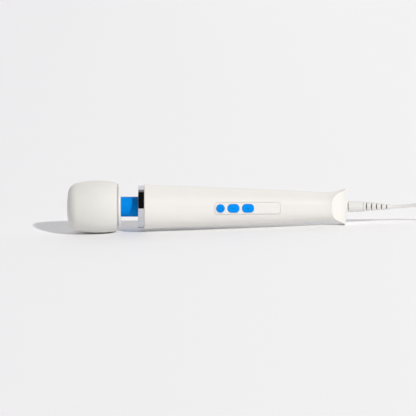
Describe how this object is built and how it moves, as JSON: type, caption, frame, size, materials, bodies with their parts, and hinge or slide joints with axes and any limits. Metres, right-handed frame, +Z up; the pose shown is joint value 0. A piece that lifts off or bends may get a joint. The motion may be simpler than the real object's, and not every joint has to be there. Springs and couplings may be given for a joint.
{
  "type": "handheld wand massager",
  "caption": "Handheld wand massager with a soft round head on a flexible neck, bright ring, tapered handle with buttons, and a detachable supply lead with adapter.",
  "frame": {"origin": "on the surface that the wand lies on, under the middle of the wand's box, measured without the supply lead", "axes": "+Z up; +X along the wand from its head towards its tail; the buttons face -Y"},
  "size_m": [0.6811, 0.0628, 0.0621],
  "materials": {
    "soft_silicone": "matte soft silicone",
    "core_plastic": "moulded",
    "grey_plastic": "moulded",
    "screw_steel": "zinc plated",
    "bearing_steel": "ground",
    "spring_steel": "drawn",
    "weight_iron": "sintered",
    "collar_aluminium": "turned",
    "neck_blue": "glossy flexible",
    "black_rubber": "moulded",
    "ring_chrome": "polished",
    "handle_white": "satin gloss",
    "motor_steel": "pressed",
    "black_plastic": "moulded",
    "magnet": "ferrite",
    "bush_bronze": "sintered",
    "copper": "enamelled",
    "carbon": "graphite",
    "board_green": "solder resist",
    "led_clear": "clear lens",
    "panel_white": "satin gloss",
    "button_blue": "satin",
    "wire_red": "insulation",
    "plug_nickel": "nickel plated",
    "plug_white": "moulded",
    "cord_white": "jacket",
    "tie_grey": "hook and loop",
    "adapter_white": "moulded",
    "blade_brass": "nickel plated brass"
  },
  "bodies": {
    "handle": {"neck_rear_collar": "collar_aluminium", "neck_housing": "core_plastic", "chrome_ring": "ring_chrome", "handle_front_shell": "handle_white", "handle_back_shell": "handle_white", "handle_screws": "screw_steel", "motor_can": "motor_steel", "motor_end_cap": "black_plastic", "motor_magnets": "magnet", "front_motor_bush": "bush_bronze", "rear_motor_bush": "bush_bronze", "motor_brushes": "carbon", "front_motor_mount": "black_rubber", "rear_motor_mount": "black_rubber", "control_board": "board_green", "board_parts": "black_plastic", "tact_switches": "black_plastic", "indicator_leds": "led_clear", "board_screws": "screw_steel", "keypad_panel": "panel_white", "dc_jack": "black_plastic", "jack_bezel": "handle_white", "motor_leads": "wire_red", "supply_leads": "wire_red"},
    "neck": {"neck_sleeve": "neck_blue", "neck_spring": "spring_steel"},
    "head": {"head_cushion": "soft_silicone", "head_shell": "core_plastic", "head_back_plate": "grey_plastic", "head_rear_cover": "handle_white", "head_screws": "screw_steel", "front_head_bearing": "bearing_steel", "rear_head_bearing": "bearing_steel", "neck_front_collar": "collar_aluminium"},
    "eccentric": {"weight_shaft": "bearing_steel", "eccentric_weight": "weight_iron", "weight_set_screw": "screw_steel"},
    "rotor": {"armature_core": "motor_steel", "armature_windings": "copper", "commutator": "copper", "motor_shaft": "bearing_steel", "drive_coupling": "black_rubber"},
    "power_key": {"power_button": "button_blue"},
    "minus_key": {"minus_button": "button_blue"},
    "plus_key": {"plus_button": "button_blue"},
    "supply_set": {"plug_barrel": "plug_nickel", "plug_body": "plug_white", "strain_relief": "plug_white", "cord_lead": "cord_white", "cord_coil": "cord_white", "cord_tail": "cord_white", "cord_tie": "tie_grey", "adapter_case": "adapter_white", "adapter_face": "adapter_white", "adapter_blades": "blade_brass", "adapter_relief": "plug_white", "adapter_transformer": "weight_iron", "adapter_board": "board_green"}
  },
  "joints": [
    {"name": "neck_bend_up", "type": "hinge", "parent": "handle", "child": "neck", "pos_m": [-0.09405, 0, 0.02987], "axis": [0, 1, 0], "range_deg": [-8, 8], "stiffness_Nm_per_rad": 6, "deforming": ["neck_sleeve", "neck_spring", "drive_coupling"]},
    {"name": "neck_bend_side", "type": "hinge", "parent": "neck", "child": "head", "pos_m": [-0.09405, 0, 0.02987], "axis": [0.0326, 0, 0.9995], "range_deg": [-8, 8], "stiffness_Nm_per_rad": 6},
    {"name": "motor_spin", "type": "hinge", "parent": "handle", "child": "rotor", "pos_m": [-0.04108, 0, 0.02814], "axis": [0.9995, 0, -0.0326], "continuous": true},
    {"name": "weight_spin", "type": "hinge", "parent": "head", "child": "eccentric", "pos_m": [-0.13603, 0, 0.03124], "axis": [0.9995, 0, -0.0326], "continuous": true},
    {"name": "power_press", "type": "slide", "parent": "handle", "child": "power_key", "axis": [-0.0023, 0.9976, -0.0697], "range_m": [0, 0.0008], "stiffness_N_per_m": 1500},
    {"name": "minus_press", "type": "slide", "parent": "handle", "child": "minus_key", "axis": [-0.0023, 0.9976, -0.0697], "range_m": [0, 0.0008], "stiffness_N_per_m": 1500},
    {"name": "plus_press", "type": "slide", "parent": "handle", "child": "plus_key", "axis": [-0.0023, 0.9976, -0.0697], "range_m": [0, 0.0008], "stiffness_N_per_m": 1500},
    {"name": "supply_unplug", "type": "slide", "parent": "handle", "child": "supply_set", "axis": [0.9995, 0, -0.0326], "range_m": [0, 0.015]}
  ],
  "couplings": [
    {"joint": "weight_spin", "follows": "motor_spin", "ratio": 1}
  ]
}
